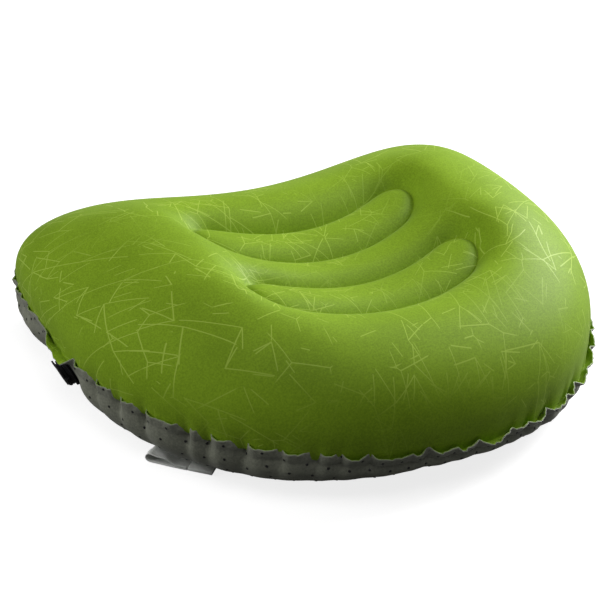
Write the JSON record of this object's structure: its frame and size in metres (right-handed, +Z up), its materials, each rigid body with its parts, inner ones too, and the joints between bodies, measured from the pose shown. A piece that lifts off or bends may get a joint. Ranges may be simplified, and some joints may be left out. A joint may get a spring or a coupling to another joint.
{
  "type": "inflatable camp pillow",
  "caption": "Kidney-shaped inflatable camp pillow with a head hollow, welded flange, plug valve and ribbon loops under its front corners.",
  "frame": {"origin": "under the middle of the pillow, on the surface it rests on", "axes": "+X along the pillow to the user's right end, -Y to the neck side, +Z up"},
  "size_m": [0.374, 0.3354, 0.1055],
  "materials": {
    "green_fabric": "smooth coated fabric with a tone-on-tone line print",
    "grey_fabric": "matt coated fabric with black grip dots",
    "baffle_film": "welded film",
    "valve_black": "smooth moulded elastomer",
    "silicone": "soft silicone",
    "ribbon_grey": "woven light grey ribbon"
  },
  "bodies": {
    "pillow": {"top_panel": "green_fabric", "bottom_panel": "grey_fabric", "baffle_rear": "baffle_film", "baffle_front": "baffle_film", "valve_patch": "valve_black", "valve_base": "valve_black", "loop_anchor_left": "ribbon_grey", "loop_anchor_right": "ribbon_grey"},
    "plug": {"dump_plug": "valve_black", "plug_seal": "silicone", "flap_spider": "valve_black", "plug_tether": "valve_black"},
    "cap": {"valve_cap": "valve_black", "cap_tether": "valve_black"},
    "flap": {"check_flap": "silicone"},
    "loop_left": {"ribbon_loop_left": "ribbon_grey"},
    "loop_right": {"ribbon_loop_right": "ribbon_grey"}
  },
  "joints": [
    {"name": "plug_pull", "type": "slide", "parent": "pillow", "child": "plug", "axis": [-0.9062, -0.0139, -0.4226], "range_m": [0, 0.013]},
    {"name": "cap_hinge", "type": "hinge", "parent": "plug", "child": "cap", "pos_m": [-0.1784, 0.0295, 0.01563], "axis": [-0.4226, -0.0065, 0.9063], "range_deg": [0, 150]},
    {"name": "flap_hinge", "type": "hinge", "parent": "plug", "child": "flap", "pos_m": [-0.164, 0.04142, 0.01536], "axis": [-0.0153, 0.9999, 0], "range_deg": [0, 40], "stiffness_Nm_per_rad": 0.0002},
    {"name": "loop_left_swing", "type": "hinge", "parent": "pillow", "child": "loop_left", "pos_m": [-0.13776, -0.07024, 0.0003], "axis": [-0.7071, -0.7071, 0], "range_deg": [0, 90]},
    {"name": "loop_right_swing", "type": "hinge", "parent": "pillow", "child": "loop_right", "pos_m": [0.13776, -0.07024, 0.0003], "axis": [-0.7071, 0.7071, 0], "range_deg": [0, 90]}
  ]
}
